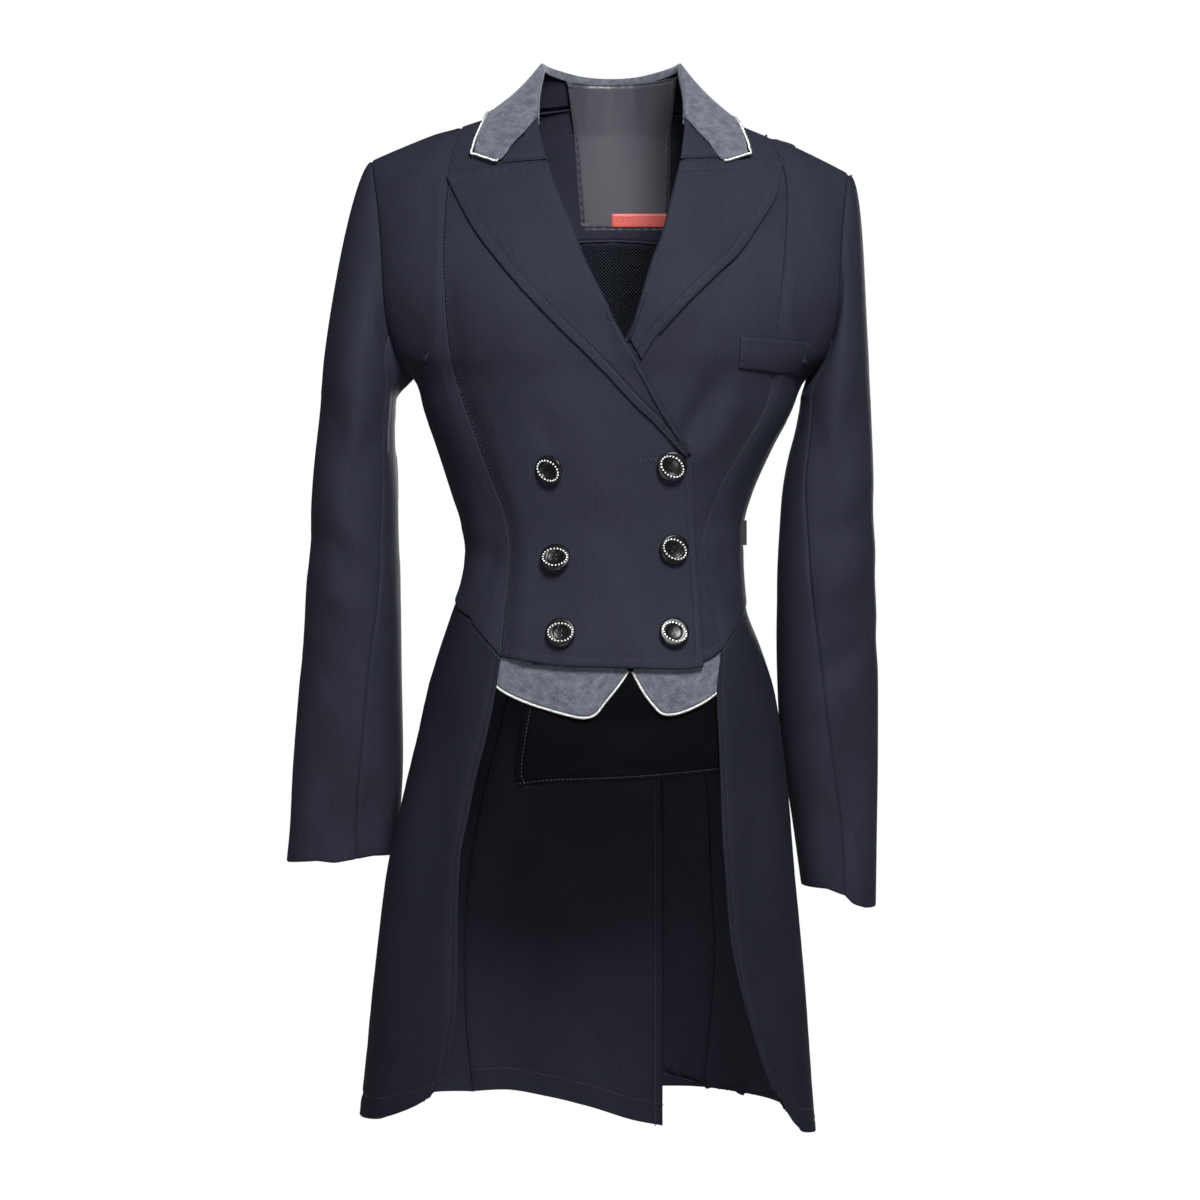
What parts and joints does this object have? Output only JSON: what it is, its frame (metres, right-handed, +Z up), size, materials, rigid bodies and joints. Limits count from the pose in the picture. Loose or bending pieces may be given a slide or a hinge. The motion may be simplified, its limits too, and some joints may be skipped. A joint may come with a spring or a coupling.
{
  "type": "women's riding tailcoat",
  "caption": "Fitted double-breasted riding tailcoat with grey suede collar and waistcoat points, silver braid, studded buttons, long sleeves and split knee-length tails.",
  "frame": {"origin": "midway between the wearer's shoulders, level with the base of the neck, inside the collar", "axes": "+X to the wearer's left, -Y to the front, +Z up; the coat hangs down along Z as worn"},
  "size_m": [0.5061, 0.2502, 0.9211],
  "materials": {
    "stretch_cloth": "matte navy-black two-way stretch cloth",
    "suede": "mottled grey suede",
    "silver_braid": "silver metallic braid",
    "mesh_lining": "black perforated mesh",
    "label_satin": "black woven satin, bare",
    "button_black": "gloss black with a ring of clear crystals"
  },
  "bodies": {
    "root": {"front_right": "stretch_cloth", "side_front_right": "stretch_cloth", "side_back_right": "stretch_cloth", "back_right": "stretch_cloth", "tail_front_right": "stretch_cloth", "tail_back_right": "stretch_cloth", "sleeve_upper_right": "stretch_cloth", "sleeve_under_right": "stretch_cloth", "lapel_right": "stretch_cloth", "collar_base_right": "stretch_cloth", "vest_point_right": "suede", "vest_braid_right": "silver_braid", "front_left": "stretch_cloth", "side_front_left": "stretch_cloth", "side_back_left": "stretch_cloth", "back_left": "stretch_cloth", "tail_front_left": "stretch_cloth", "tail_back_left": "stretch_cloth", "sleeve_upper_left": "stretch_cloth", "sleeve_under_left": "stretch_cloth", "lapel_left": "stretch_cloth", "collar_base_left": "stretch_cloth", "vest_point_left": "suede", "vest_braid_left": "silver_braid", "collar_fall": "suede", "collar_stand": "stretch_cloth", "collar_braid": "silver_braid", "underlap_flap": "stretch_cloth", "breast_welt": "stretch_cloth", "back_neck_facing": "stretch_cloth", "back_lining": "mesh_lining", "neck_label": "label_satin", "side_tab": "label_satin", "button_1": "button_black", "button_2": "button_black", "button_3": "button_black", "button_4": "button_black", "button_5": "button_black", "button_6": "button_black"}
  },
  "joints": []
}
